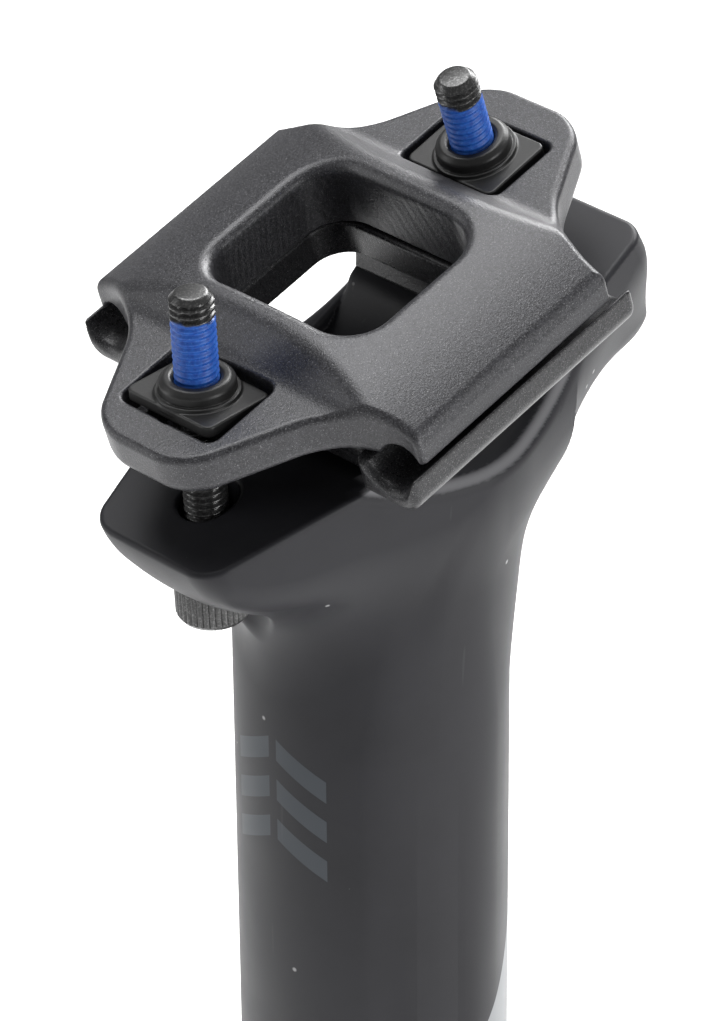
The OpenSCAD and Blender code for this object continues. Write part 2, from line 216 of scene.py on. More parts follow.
def chamfer_and(a, b, size, blur=0.7):
    """Intersection with a chamfer whose own edges are slightly rounded."""
    soft = size * blur
    return smooth_max(smooth_max(a, b, soft), (a + b + size) * math.sqrt(0.5), soft)


def rounded_box(u, v, half_u, half_v, r):
    """Rectangle with rounded corners, in the plane."""
    du, dv = np.abs(u) - half_u + r, np.abs(v) - half_v + r
    return np.hypot(np.maximum(du, 0), np.maximum(dv, 0)) + np.minimum(np.maximum(du, dv), 0) - r


def slot_2d(u, v, start, end, r):
    """Slot along u between two centres."""
    return np.hypot(u - np.clip(u, start, end), v) - r


def field_mesh(name, field, place, low, high, cell):
    """Mesh of the zero surface of a field given in the frame of place, between two corners."""
    block = 32
    low = np.array(low, float)
    count = np.ceil((np.array(high) - low) / cell).astype(int) + 1
    grid = openvdb.FloatGrid(1.0)
    reach = block * cell * math.sqrt(3) / 2 + 2 * cell
    for start in np.ndindex(*(-(-count // block))):
        start = np.array(start) * block
        middle = low + (start + (block - 1) / 2) * cell
        value = float(field(*(np.array([m]) for m in middle))[0])
        if value > reach:
            continue
        if value < -reach:
            grid.fill(tuple(map(int, start)), tuple(map(int, start + block - 1)), -1.0, True)
            continue
        axes = [low[i] + (start[i] + np.arange(block)) * cell for i in range(3)]
        values = field(*np.meshgrid(*axes, indexing="ij")).astype(np.float32)
        grid.copyFromArray(np.ascontiguousarray(values), ijk=tuple(map(int, start)))
    points, quads = grid.convertToQuads(0.0)
    points = points.astype(float) * cell + low
    for _ in range(2):
        value, slope = field_slope(field, points)
        step = np.clip(value / np.maximum((slope ** 2).sum(1), 0.25), -cell / 2, cell / 2)
        points -= slope * step[:, None]
    normals = field_slope(field, points)[1]
    normals /= np.maximum(np.linalg.norm(normals, axis=1), 1e-6)[:, None]
    return make_mesh(name, place.out(points), quads, place.turn(normals))


def field_slope(field, points):
    """Value and slope of a field at points, by central differences."""
    step = 0.04
    slope = np.empty_like(points)
    for axis in range(3):
        shift = np.zeros(3)
        shift[axis] = step
        slope[:, axis] = (field(*(points + shift).T) - field(*(points - shift).T)) / (2 * step)
    return field(*points.T), slope


# ---------- meshes ----------

def make_mesh(name, points, faces, normals=None):
    """Object from points in millimetres, with its own normals if they are given."""
    mesh = bpy.data.meshes.new(name)
    mesh.from_pydata((np.asarray(points) * MM).tolist(), [], [tuple(map(int, f)) for f in faces])
    mesh.update()
    mesh.polygons.foreach_set("use_smooth", np.ones(len(mesh.polygons), bool))
    if normals is not None:
        mesh.normals_split_custom_set_from_vertices(np.asarray(normals).tolist())
    made = bpy.data.objects.new(name, mesh)
    bpy.context.scene.collection.objects.link(made)
    return made


def loft(name, rings, place=POST, closed=False, sharp=35):
    """Skin over rings that all hold the same number of points.

    A ring of one point closes an end. With closed, the last ring joins the first.
    """
    points, faces, starts = [], [], []
    width = max(len(r) for r in rings)
    for ring in rings:
        starts.append(len(points))
        points.extend(ring)
    pairs = list(zip(range(len(rings)), range(1, len(rings))))
    if closed:
        pairs.append((len(rings) - 1, 0))
    for a, b in pairs:
        for i in range(width):
            j = (i + 1) % width
            p = [starts[a] + (i if len(rings[a]) > 1 else 0), starts[a] + (j if len(rings[a]) > 1 else 0),
                 starts[b] + (j if len(rings[b]) > 1 else 0), starts[b] + (i if len(rings[b]) > 1 else 0)]
            faces.append(list(dict.fromkeys(p)))
    made = make_mesh(name, place.out(np.array(points, float)), faces)
    work = bmesh.new()
    work.from_mesh(made.data)
    bmesh.ops.recalc_face_normals(work, faces=work.faces)
    for edge in work.edges:
        edge.smooth = edge.calc_face_angle(0) < math.radians(sharp)
    work.to_mesh(made.data)
    work.free()
    return made


def ring_points(count, r, z, wave=None):
    """One ring about Z. The wave gives the radius by angle."""
    angle = np.arange(count) * TURN / count
    rr = r if wave is None else wave(angle)
    return np.column_stack([rr * np.cos(angle), rr * np.sin(angle), np.full(count, float(z))])


def lathe(name, profile, count=160, place=POST, closed=True, sharp=35):
    """Solid of revolution about Z from (radius, height) pairs."""
    rings = [ring_points(count, r, z) if r > 0 else [(0, 0, z)] for r, z in profile]
    return loft(name, rings, place, closed, sharp)


# ---------- head and sleeve ----------

def bolt_hole(x, y, z, bolt):
    """Slot, round seat and counterbore for a clamp bolt in the head."""
    bx, bz = bolt.into(x, z)
    axis = np.hypot(bx, y)
    through = np.maximum(slot_2d(bx, y, -0.9, 0.0, 3.1), bolt.under_head - bz)
    seat = np.sqrt(axis ** 2 + (bz - bolt.under_head + 4) ** 2) - 7.05
    bore = np.maximum(axis - 6, bz - bolt.under_head - 0.4)
    return np.minimum(np.minimum(through, np.maximum(seat, axis - 6)), bore)


def flare(r, z, arc_r, base):
    """Tube that opens out along an arc above a height."""
    above = arc_r - np.hypot(r - SLEEVE_R - arc_r, z - base)
    return np.where(z > base, np.where(r < SLEEVE_R + arc_r, above, base + arc_r - z), r - SLEEVE_R)


def rocker_cut(x, y, z):
    """Seat that the cradle rocks on, the channel below it, and the relief of the flanks."""
    u, w = CLAMP.into(x, z)
    past_flank = FLANK_Y - np.abs(y)
    seat = np.hypot(u - ROCKER_U, w - ROCKER_W) - ROCKER_R
    channel = np.maximum(np.hypot(u - CHANNEL_U, w - CHANNEL_W) - CHANNEL_R, -past_flank)
    relief = smooth_max(np.hypot(u + 2.8, w - 10.9) - 26.6, past_flank, 0.8)
    return smooth_min(smooth_min(seat, relief, 0.6), channel, 0.6)


def head_blank(x, y, z):
    """Solid of the head before anything is cut in it.

    A slanting plane is divided by the length of its slope, which makes it a distance.
    """
    u, w = CLAMP.into(x, z)
    side = np.abs(y)
    r = np.hypot(x, y)
    # outline of the head, square to the clamp
    flank = smooth_max((side - 19.75 + 0.3 * u) / 1.044, (side - 19.75 - 0.2 * u) / 1.02, 2)
    toe = u - 35.5
    heel = (-32.2 - u - 0.24 * (HEAD_TOP - w)) / 1.028
    plan = round_and(flank, np.maximum(toe, heel), 3)
    # underside: a straight front arm, a hollow rear arm and flared flanks
    slope = math.radians(41.2)
    cone = (r - SLEEVE_R - (z - 312) / math.tan(slope)) * math.sin(slope)
    keel = (np.hypot(y, 3) - 1 - 0.9 * (z - 310.8)) / 1.345
    front = smooth_max(smooth_max(cone, keel, 7), -x, 2)
    arc_r, arc_z = 20, 313.3
    lowest = arc_z + np.sqrt(arc_r ** 2 - np.clip(SLEEVE_R + arc_r + x, 0, arc_r) ** 2)
    wall = (side - 10.7 - 0.37 * (z - lowest)) / 1.066
    rear = round_and(flare(r, z, arc_r, arc_z), wall, 4)
    rear = smooth_max(round_and(rear, heel, 9), x, 2)
    body = smooth_min(flare(r, z, 30, 317), smooth_min(front, rear, 2), 8)
    solid = round_and(body, plan, np.clip(2.5 - x / 12, 2.2, 4))
    return round_and(solid, w - HEAD_TOP, 0.6)


def head_field(x, y, z):
    r = np.hypot(x, y)
    solid = chamfer_and(head_blank(x, y, z), -rocker_cut(x, y, z), SEAT_CHAMFER)
    for bolt in (FRONT, REAR):
        solid = chamfer_and(solid, -bolt_hole(x, y, z, bolt), 0.25)
    # closed bore, its spigot hole and the key grooves
    angle = (np.arctan2(y, x) + TURN / 6) % (TURN / 3) - TURN / 6
    key_angle = np.abs(np.abs(angle) - TURN / 6)
    key = np.hypot(r * np.cos(key_angle) - RUN_R - 0.3, r * np.sin(key_angle)) - 1.35
    bore = np.maximum(np.minimum(r - BORE_R, np.maximum(key, z - 319)), z - BORE_TOP)
    bore = np.minimum(bore, np.maximum(r - 5.03, z - BORE_TOP - 5.2))
    return np.maximum(solid, -bore)


def make_head():
    """Head as a field, its sleeve drawn down from the field's lower edge."""
    low, high = (-39, -22, HEAD_JOIN - 2), (39, 22, 348)
    made = field_mesh("head_and_sleeve", head_field, POST, low, high, 0.3)
    draw_sleeve(made.data)
    set_normals(made.data, head_field, HEAD_JOIN)
    # painted highlight: share of lightened colour on the seat's chamfer
    paint_chamfer_highlight(made.data)
    return made


def draw_sleeve(mesh):
    """Cut the mesh off level at the join and draw both its edges down as the sleeve."""
    seat_r, thread_r = BORE_R + 0.13, SLEEVE_R - 0.4
    bush_top = top("sleeve_bush")
    # height and radius of each ring below the join, where nought keeps the radius above
    outer = [(HEAD_JOIN - 1, 0), (COLLAR_TOP + 0.4, 0), (COLLAR_TOP, thread_r),
             (SLEEVE_BOTTOM + 0.5, thread_r), (SLEEVE_BOTTOM, thread_r - 0.3)]
    inner = [(HEAD_JOIN - 1, 0), (bush_top, 0), (bush_top - 0.2, seat_r), (SLEEVE_BOTTOM, seat_r)]
    work = bmesh.new()
    work.from_mesh(mesh)
    low = [f for f in work.faces if f.calc_center_median().z < HEAD_JOIN * MM]
    bmesh.ops.delete(work, geom=low, context="FACES")
    rims = {"outer": [], "inner": []}
    for edge in work.edges:
        if edge.is_boundary:
            r = (edge.verts[0].co.xy.length + edge.verts[1].co.xy.length) / 2 / MM
            rims["outer" if r > (SLEEVE_R + BORE_R) / 2 else "inner"].append(edge)
    ends = []
    for key, steps in (("outer", outer), ("inner", inner)):
        edges = rims[key]
        for v in {v for e in edges for v in e.verts}:
            v.co.z = HEAD_JOIN * MM
        for height, r in steps:
            drawn = bmesh.ops.extrude_edge_only(work, edges=edges)["geom"]
            edges = [g for g in drawn if isinstance(g, bmesh.types.BMEdge)]
            for v in {v for e in edges for v in e.verts}:
                v.co.z = height * MM
                if key == "outer" and r or key == "inner" and r > v.co.xy.length / MM:
                    v.co.xy = v.co.xy.normalized() * r * MM
        ends += edges
    bmesh.ops.bridge_loops(work, edges=ends)
    bmesh.ops.recalc_face_normals(work, faces=work.faces)
    work.to_mesh(mesh)
    work.free()


def paint_chamfer_highlight(mesh):
    """Share of painted highlight: one on the chamfer between the seat and the head's flanks, where the
    colour is lightened to stand in for a bright band of light.
    """
    points = mesh_points(mesh)
    depth = head_blank(*points.T) - rocker_cut(*points.T) + SEAT_CHAMFER
    on_flank = (points[:, 2] > HEAD_JOIN) * (np.abs(points[:, 1]) > 12)
    attribute = mesh.attributes.new("chamfer_highlight", "FLOAT", "POINT")
    attribute.data.foreach_set("value", np.clip(depth / 0.3 + 1, 0, 1) * on_flank)


def mesh_points(mesh):
    """A mesh's vertices, in millimetres."""
    points = np.empty(len(mesh.vertices) * 3)
    mesh.vertices.foreach_get("co", points)
    return points.reshape(-1, 3) / MM


def set_normals(mesh, field, above):
    """The field's normals on the plain and shaped walls, the mesh's own at the stepped lower end.

    Below the height given, the walls are upright and take the field's normals from there.
    """
    mesh.polygons.foreach_set("use_smooth", np.ones(len(mesh.polygons), bool))
    points = mesh_points(mesh)
    normals = np.array([v.vector for v in mesh.vertex_normals])
    wall = points[:, 2] > top("sleeve_bush") + 1
    normals[wall] = field_slope(field, np.maximum(points[wall], (-99, -99, above - 1)))[1]
    normals /= np.maximum(np.linalg.norm(normals, axis=1), 1e-6)[:, None]
    mesh.normals_split_custom_set_from_vertices(normals.tolist())


# ---------- saddle clamp ----------

def top_clamp_field(u, y, w):
    out, side = np.abs(u), np.abs(y)
    # outline: block, two tapered ears and the hollows between them
    ear_end = np.where(u > 0, 32.7, 32.0)
    taper = np.maximum((side + 0.56 * out - 25.08) / 1.146, side - 18)
    ear = round_and(taper, out - ear_end, 3.6)
    block = round_and(out - 15.2, side - 25.2, 0.8)
    plan = round_or(block, ear, 6.3)
    # top: crown across the block, ramps down to the flat ears
    fall = np.minimum(side, 26) / 24
    crown = (w - 8 + 4.6 * fall ** 2.7) / np.sqrt(1 + (4.6 * 2.7 / 24 * fall ** 1.7) ** 2)
    ramp = (w - 6.2 + 0.79 * (out - 15.1)) / 1.274
    cap = smooth_max(crown, smooth_min(ramp, w - 4.5, 0.9), 0.8)
    on_ear = np.clip((out - 15.5) / 2, 0, 1)
    window = rounded_box(u, y, 10.4, 12.4, 5)
    grain = np.sin(7.3 * u + 2.1 * y + 1.7 * w) + np.sin(4.7 * y - 3.1 * u + 2.3 * w)
    wall_grain = 0.008 * grain * np.clip(1 - window, 0, 1)
    cap = round_and(cap, wall_grain - window, 1.6)
    solid = round_and(plan, cap, 1.15 - 0.25 * on_ear)
    solid = round_and(solid, -0.9 - w, 0.35 + 1.45 * on_ear)
    # shallow arches over the rails
    arch_w, arch_r = -1.7, 2.6
    solid = round_and(solid, arch_r - np.hypot(side - RAIL_Y, w - arch_w), 0.3)
    # pocket, round keel seat and bolt slot in each ear
    for bolt, slot_in, slot_out in ((FRONT, 0.3, 2.3), (REAR, 1.0, 1.0)):
        pivot_u = CLAMP.into(bolt.x, bolt.z)[0]
        du = (u - pivot_u) * np.sign(pivot_u)
        pocket = np.maximum(rounded_box(du, y, 5.2, 7.3, 1.3), 1.1 - w)
        keel = np.maximum(np.hypot(du, w - 3.9) - 3.8, side - 6.9)
        hole = slot_2d(du, y, -slot_in, slot_out, 3.1)
        solid = round_and(solid, -pocket, 0.35)
        solid = np.maximum(solid, -np.minimum(keel, hole))
    return solid


def cradle_field(u, y, w):
    out, side = np.abs(u), np.abs(y)
    # half pipe under each rail, cut to length, its ends rounded over
    pipe = round_and(round_and(side - 25.7, -5.9 - w, 2.4), np.maximum(17.2 - side, w + 1.2), 0.25)
    groove = np.hypot(side - RAIL_Y, w) - RAIL_R
    pipe = round_and(pipe, -groove, 0.22)
    pipe = round_and(pipe, out - 18, 1.1)
    # bridge between the pipes, and the feet that rock on the head
    bridge = np.maximum(round_and(out - 14, np.maximum(w + 1.2, -5.9 - w), 0.5), side - 18.6)
    rocker = np.hypot(u - ROCKER_U, w - ROCKER_W) - ROCKER_R + 0.05
    feet = np.maximum(np.maximum(round_and(rocker, out - 14, 0.4), w + 5.4), side - 15)
    channel = np.maximum(np.hypot(u - CHANNEL_U, w - CHANNEL_W) - CHANNEL_R - 0.6, w + 5.9)
    solid = round_or(np.minimum(pipe, bridge), feet, 0.8)
    solid = round_and(solid, -channel, 0.5)
    return round_and(solid, -rounded_box(u, y, 10, 13, 4), 0.5)


def nut_field(x, y, z):
    """Nut on its own bolt: plate, round keel below, collar above."""
    r = np.hypot(x, y)
    plate = round_and(rounded_box(x, y, 4.7, 6.5, 1), np.maximum(z - 0.6, -0.8 - z), 0.25)
    keel = np.maximum(np.maximum(np.hypot(x, z) - 3.4, np.abs(y) - 6.3), z - 0.5)
    collar = np.maximum(chamfer_and(r - 4.25, z - 2.7, 0.6, 0.3), -z)
    step = np.maximum(round_and(r - 4.75, z - 1.05, 0.15), -z)
    body = round_or(np.minimum(plate, keel), np.minimum(collar, step), 0.2)
    return chamfer_and(body, -(r - BOLT_R - 0.05), 0.4, 0.3)


# ---------- bolts and washers ----------

def make_bolt(name, bolt, seed):
    """Threaded cap screw, from its tip down to the floor of its socket."""
    count = 144
    tip, neck, base = bolt.reach, bolt.under_head, bolt.reach - BOLT_LEN
    angle = np.arange(count) * TURN / count
    wobble = np.random.default_rng(seed).uniform(0, TURN, 3)

    def ragged(a):
        """Uneven edge of the thread-locking patch."""
        return (0.16 * np.sin(2 * a + wobble[0]) + 0.09 * np.sin(5 * a + wobble[1])
                + 0.05 * np.sin(11 * a + wobble[2]))

    def thread(z):
        """Radius and share of patch round the thread at a height."""
        phase = ((z / THREAD_PITCH - angle / TURN) % 1 + 1) % 1
        tooth = np.clip(1.35 * (1 - 2 * np.abs(phase - 0.5)) - 0.12, 0, 1)
        patch = np.clip((tip - 2.9 + ragged(angle) - z) / 0.25, 0, 1) * np.clip((z - 1.0) / 0.25, 0, 1)
        depth = 0.43 * (1 - patch) + 0.2 * patch
        r = BOLT_R - 0.02 - depth * (1 - tooth)
        chamfer = BOLT_R - 0.02 - np.maximum(z - tip + 0.75, 0)
        return np.minimum(r, chamfer), patch

    def knurl(a):
        return BOLT_HEAD_R - 0.26 * (1 - np.abs(np.sin(a * 18)))

    def hexagon(a):
        return 2.0 / np.cos((a + TURN / 12) % (TURN / 6) - TURN / 12)

    def socket_mouth(a):
        return hexagon(a) + 0.15

    tip_rings = [(BOLT_R - 0.95, tip), (BOLT_R - 0.8, tip - 0.03)]
    head_rings = [(BOLT_R - 0.05, neck + 1.1), (BOLT_R - 0.05, neck + 0.2), (BOLT_R + 0.2, neck),
                  (BOLT_HEAD_R - 0.35, neck), (BOLT_HEAD_R - 0.12, neck - 0.15), (knurl, neck - 0.35),
                  (knurl, base + 0.75), (BOLT_HEAD_R - 0.12, base + 0.55), (BOLT_HEAD_R - 0.4, base + 0.1),
                  (BOLT_HEAD_R - 0.7, base), (socket_mouth, base), (hexagon, base + 0.2),
                  (hexagon, base + 2.8), (1.2, base + 3.2)]
    rings = [[(0, 0, tip)]] + [ring_points(count, r, z) for r, z in tip_rings]
    patches = [[0], np.zeros(count), np.zeros(count)]
    for z in np.arange(tip - 0.08, neck + 1.2, -THREAD_PITCH / 10):
        r, patch = thread(z)
        rings.append(ring_points(count, 0, z, lambda a: r))
        patches.append(patch)
    for r, z in head_rings:
        rings.append(ring_points(count, 0, z, r) if callable(r) else ring_points(count, r, z))
        patches.append(np.zeros(count))
    rings.append([(0, 0, base + 3.5)])
    patches.append([0])
    made = loft(name, rings, bolt, sharp=50)
    attribute = made.data.attributes.new("patch", "FLOAT", "POINT")
    attribute.data.foreach_set("value", np.concatenate([np.asarray(p, float) for p in patches]))
    return made


def make_washer(name, bolt):
    """Washer, flat below and part of a ball above."""
    ball_r, drop, rim, bore = 7.0, 4.0, 4.7, 2.7
    base = bolt.under_head
    arc = [(r, base - drop + math.sqrt(ball_r ** 2 - r ** 2))
           for r in np.linspace(rim - 0.15, bore + 0.15, 8)]
    profile = [(rim - 0.2, base), (rim, base + 0.2), (rim, arc[0][1] - 0.1), *arc,
               (bore, arc[-1][1] - 0.15), (bore, base + 0.15), (bore + 0.15, base)]
    return lathe(name, profile, 96, bolt)


# ---------- pieces turned about the post ----------

def make_insertion_tube():
    inner = radius("preload_plug") + 0.05
    low = [(INSERT_R - 0.8, 0), (INSERT_R, 0.8), (INSERT_R, INSERT_LEN - 0.3), (INSERT_R - 0.3, INSERT_LEN)]
    stop, slide = bottom("stop_ring"), bottom("slide_ring")
    grooves = []
    for base, h, depth in ((stop, 1.6, 0.7), (slide, 7.0, 0.6)):
        grooves += [(RUN_R, base), (RUN_R - depth, base), (RUN_R - depth, base + h), (RUN_R, base + h)]
    high = [(RUN_R, INSERT_LEN), *grooves, (RUN_R, TUBE_TOP - 1), (RUN_R - 1, TUBE_TOP)]
    bore = [(inner + 0.3, TUBE_TOP), (inner, TUBE_TOP - 0.3), (inner, 0.6), (inner + 0.6, 0)]
    return lathe("insertion_tube", low + high + bore, 192)


def make_collar():
    """Threaded collar with a ring of grip grooves."""
    count, grips = 288, 24
    lip, seat = RUN_R + 0.35, SLEEVE_R - 0.37
    high, low = COLLAR_TOP, COLLAR_BASE

    def scallop(depth):
        def wave(a):
            near = np.abs((a * grips / TURN + 0.5) % 1 - 0.5) * TURN / grips * COLLAR_R
            return COLLAR_R - depth * np.clip(1 - (near / 0.75) ** 2, 0, 1) ** 0.5
        return wave

    rings = [ring_points(count, r, z) for r, z in
             ((lip, low + 0.3), (lip + 0.3, low), (COLLAR_R - 1.1, low), (COLLAR_R - 0.35, low + 0.35),
              (COLLAR_R, low + 1.1))]
    for z, depth in ((2.8, 0), (3.1, 0.28), (3.6, 0.5), (12.4, 0.5), (12.9, 0.28), (13.2, 0)):
        rings.append(ring_points(count, 0, low + z, scallop(depth)))
    rings += [ring_points(count, r, z) for r, z in
              ((COLLAR_R, high - 1.1), (COLLAR_R - 0.35, high - 0.35), (COLLAR_R - 1.1, high),
               (seat + 0.4, high), (seat, high - 0.4), (seat, low + 2), (lip, low + 2))]
    return loft("collar_ring", rings, closed=True)


def make_spring(name, first, last):
    """The coil spring between two of its turns."""
    side, per_turn = 16, 40
    coil_r = SPRING_R - SPRING_WIRE / 2
    section = np.arange(side) * TURN / side
    rings = []
    for turn in np.linspace(first, last, (last - first) * per_turn + 1):
        a = turn * TURN
        r = coil_r + SPRING_WIRE / 2 * np.cos(section)
        z = spring_height(turn) + SPRING_WIRE / 2 * np.sin(section)
        rings.append(np.column_stack([r * math.cos(a), r * math.sin(a), z]))
    rings.insert(0, [rings[0].mean(0)])
    rings.append([rings[-1].mean(0)])
    return loft(name, rings, sharp=60)


def spring_height(turn):
    """Height of the wire's middle at a turn."""
    rise = (SPRING_TOP - SPRING_BASE - SPRING_WIRE) / (SPRING_TURNS - 1)
    return SPRING_BASE + SPRING_WIRE / 2 + turn * rise


def place_springs(finish):
    """One spring in two lengths, a lower and an upper, both carried on the lower tube."""
    split = 7
    lengths = (("coil_spring_lower", 0, split, "preload_travel", SPRING_BASE),
               ("coil_spring_upper", split, SPRING_TURNS - 1, "suspension_travel", SPRING_TOP))
    for name, first, last, moved, end in lengths:
        coil = make_spring(name, first, last)
        place_piece(coil, "lower_tube", "plain_steel", finish, "main_spring")
        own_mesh(coil)


# ---------- materials ----------

class Nodes:
    """Short calls for building one material's node tree."""

    def __init__(self, name):
        self.material = bpy.data.materials.new(name)
        self.material.use_nodes = True
        self.tree = self.material.node_tree
        self.shader = self.tree.nodes["Principled BSDF"]
        coordinates = self.tree.nodes.new("ShaderNodeTexCoord")
        scale = self.tree.nodes.new("ShaderNodeVectorMath")
        scale.operation = "SCALE"
        scale.inputs["Scale"].default_value = 1 / MM
        self.link(coordinates.outputs["Object"], scale.inputs[0])
        self.place = scale.outputs[0]

    def link(self, a, b):
        self.tree.links.new(a, b)

    def noise(self, size, detail=3.0, rough=0.55, stretch=None):
        """Noise whose features are about size millimetres across."""
        node = self.tree.nodes.new("ShaderNodeTexNoise")
        node.inputs["Scale"].default_value = 1 / size
        node.inputs["Detail"].default_value = detail
        node.inputs["Roughness"].default_value = rough
        source = self.place
        if stretch:
            mapping = self.tree.nodes.new("ShaderNodeVectorMath")
            mapping.operation = "MULTIPLY"
            mapping.inputs[1].default_value = stretch
            self.link(source, mapping.inputs[0])
            source = mapping.outputs[0]
        self.link(source, node.inputs["Vector"])
        return node.outputs["Fac"]

    def math(self, operation, a, b=0.0, c=0.0, clamp=False):
        node = self.tree.nodes.new("ShaderNodeMath")
        node.operation = operation
        node.use_clamp = clamp
        for socket, value in zip(node.inputs, (a, b, c)):
            if isinstance(value, (int, float)):
                socket.default_value = value
            else:
                self.link(value, socket)
        return node.outputs[0]

    def remap(self, value, low, high, to_low, to_high):
        node = self.tree.nodes.new("ShaderNodeMapRange")
        self.link(value, node.inputs["Value"])
        for name, number in (("From Min", low), ("From Max", high), ("To Min", to_low), ("To Max", to_high)):
            node.inputs[name].default_value = number
        return node.outputs["Result"]

    def mix(self, share, a, b):
        """Blend of two colours, each a colour or a socket."""
        node = self.tree.nodes.new("ShaderNodeMix")
        node.data_type = "RGBA"
        self.link(share, node.inputs["Factor"])
        for socket, value in ((node.inputs[6], a), (node.inputs[7], b)):
            if isinstance(value, (tuple, list)):
                socket.default_value = (*value, 1)
            else:
                self.link(value, socket)
        return node.outputs[2]

    def bump(self, height, depth, normal=None):
        """Bump whose height runs from nought to depth millimetres."""
        node = self.tree.nodes.new("ShaderNodeBump")
        node.inputs["Distance"].default_value = depth * MM
        self.link(height, node.inputs["Height"])
        if normal is not None:
            self.link(normal, node.inputs["Normal"])
        return node.outputs["Normal"]

    def specks(self, size, share):
        """Rare round specks: one small dot in a share of the cells."""
        node = self.tree.nodes.new("ShaderNodeTexVoronoi")
        node.inputs["Scale"].default_value = 1 / size
        self.link(self.place, node.inputs["Vector"])
        colour = self.tree.nodes.new("ShaderNodeSeparateColor")
        self.link(node.outputs["Color"], colour.inputs[0])
        chosen = self.math("LESS_THAN", colour.outputs[0], share)
        dot = self.remap(node.outputs["Distance"], 0.02, 0.05, 1, 0)
        return self.math("MULTIPLY", chosen, dot)

    def set(self, **sockets):
        for name, value in sockets.items():
            socket = self.shader.inputs[name.replace("_", " ")]
            if hasattr(value, "is_linked"):
                self.link(value, socket)
            else:
                socket.default_value = value if isinstance(value, (int, float)) else (*value, 1)

    def attribute(self, name):
        """A number stored on the mesh."""
        node = self.tree.nodes.new("ShaderNodeAttribute")
        node.attribute_name = name
        return node.outputs["Fac"]

    def split(self):
        node = self.tree.nodes.new("ShaderNodeSeparateXYZ")
        self.link(self.place, node.inputs[0])
        return node.outputs[0], node.outputs[1], node.outputs[2]


def grey(level, tint=0.0):
    return (level, level, level * (1 + tint))


def shades(colour, spread):
    return tuple(c * (1 - spread) for c in colour), tuple(c * (1 + spread) for c in colour)


def surface(name, colour, roughness, metallic, grain, depth, spread=0.15, coarse=6.0, stretch=None):
    """Finish with grain of a given size and depth, cloudy colour and uneven gloss."""
    n = Nodes(name)
    cloud = n.noise(coarse, 4)
    fine = n.noise(grain, 2, 0.6, stretch)
    blend = n.math("ADD", n.math("MULTIPLY", cloud, 0.6), n.math("MULTIPLY", fine, 0.4))
    n.set(Base_Color=n.mix(n.remap(blend, 0.35, 0.65, 0, 1), *shades(colour, spread)),
          Roughness=n.remap(blend, 0.3, 0.7, roughness - 0.06, roughness + 0.06),
          Metallic=metallic, Normal=n.bump(fine, depth))
    return n


def blasted(name, colour, roughness):
    """Bead-blasted and anodised aluminium: dense fine grain, with painted glints in its colour that make it
    sparkle.
    """
    n = Nodes(name)
    cloud = n.noise(9, 3)
    grain = n.noise(0.3, 2, 0.7)
    fine = n.noise(0.13, 1, 0.5)
    both = n.math("ADD", n.math("MULTIPLY", grain, 0.6), n.math("MULTIPLY", fine, 0.4))
    painted_glint = n.remap(fine, 0.62, 0.74, 0, 1)
    base = n.mix(n.remap(both, 0.38, 0.62, 0, 1), *shades(colour, 0.5))
    # painted highlight: bright glints painted into the base colour as pale grey dots
    base = n.mix(n.math("MULTIPLY", painted_glint, 0.45), base, grey(0.36))
    base = n.mix(n.remap(cloud, 0.3, 0.7, 0, 0.2), base, grey(colour[0] * 0.7))
    n.set(Base_Color=base, Roughness=n.remap(both, 0.3, 0.7, roughness - 0.08, roughness + 0.08),
          Metallic=0.2, Normal=n.bump(both, 0.06))
    return n


def chevrons(n, x, y, z):
    """Stack of chevrons that faces the front, parted in the middle."""
    half, pitch, gap, edge = 7.2, 5.4, 0.55, 0.06
    across = n.math("ABSOLUTE", n.math("MULTIPLY", n.math("ARCTAN2", y, x), SLEEVE_R))
    rise = n.math("ADD", n.math("SUBTRACT", z, MARK_Z), n.math("MULTIPLY", across, 0.55))
    stripe = n.remap(n.math("PINGPONG", rise, pitch / 2), pitch * 0.26, pitch * 0.27, 1, 0)
    in_width = n.remap(across, half, half + edge, 1, 0)
    in_stack = n.remap(n.math("ABSOLUTE", rise), 1.5 * pitch, 1.51 * pitch, 1, 0)
    off_middle = n.remap(across, gap, gap + edge, 0, 1)
    return n.math("MULTIPLY", n.math("MULTIPLY", stripe, n.math("MULTIPLY", in_width, in_stack)), off_middle)


def diagonal_band(n, x, y, z):
    """Pale band that climbs round the left rear of the sleeve."""
    width, climb, end, edge = 22, 1.2, 21, 0.1
    floor = COLLAR_TOP + 8
    arc = n.math("MULTIPLY", n.math("ARCTAN2", n.math("SUBTRACT", 0.0, x), y), SLEEVE_R)
    lean = n.math("SUBTRACT", n.math("ADD", z, n.math("MULTIPLY", arc, -climb)), BAND_Z)
    in_width = n.math("MULTIPLY", n.remap(lean, -edge / 2, edge / 2, 1, 0),
                      n.remap(lean, -width - edge, -width, 0, 1))
    in_length = n.math("MULTIPLY", n.remap(z, floor, floor + edge, 0, 1),
                       n.remap(n.math("ABSOLUTE", arc), end, end + edge, 1, 0))
    return n.math("MULTIPLY", in_width, in_length)


